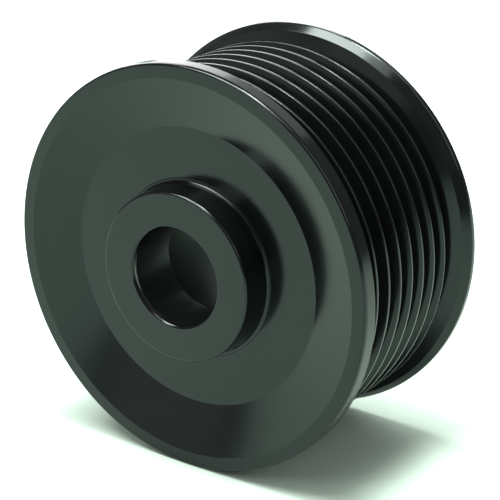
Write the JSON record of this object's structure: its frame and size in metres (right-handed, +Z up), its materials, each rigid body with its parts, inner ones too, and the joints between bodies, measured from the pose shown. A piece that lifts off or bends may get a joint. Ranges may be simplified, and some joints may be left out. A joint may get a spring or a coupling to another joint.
{
  "type": "multi-rib belt pulley",
  "caption": "Black grooved belt pulley with flanged ends, a dished front, a raised hub boss and a plain shaft bore.",
  "frame": {"origin": "on the bore axis, in the middle of the belt track", "axes": "+Y along the axis from the hub boss towards the rear flange, +Z up; the pulley is the same at every angle about +Y"},
  "size_m": [0.07, 0.0378, 0.07],
  "materials": {
    "anodised_faces": "fine bead-blasted, hard anodised black, matte with a slight green-grey cast",
    "anodised_grooves": "turned, hard anodised black, satin",
    "sleeve_steel": "fine-bored steel, blackened, semi-gloss"
  },
  "bodies": {
    "root": {"hub": "anodised_faces", "shaft_sleeve": "sleeve_steel", "front_flange": "anodised_faces", "grooved_rim": "anodised_grooves", "core": "anodised_faces", "rear_flange": "anodised_faces"}
  },
  "joints": []
}
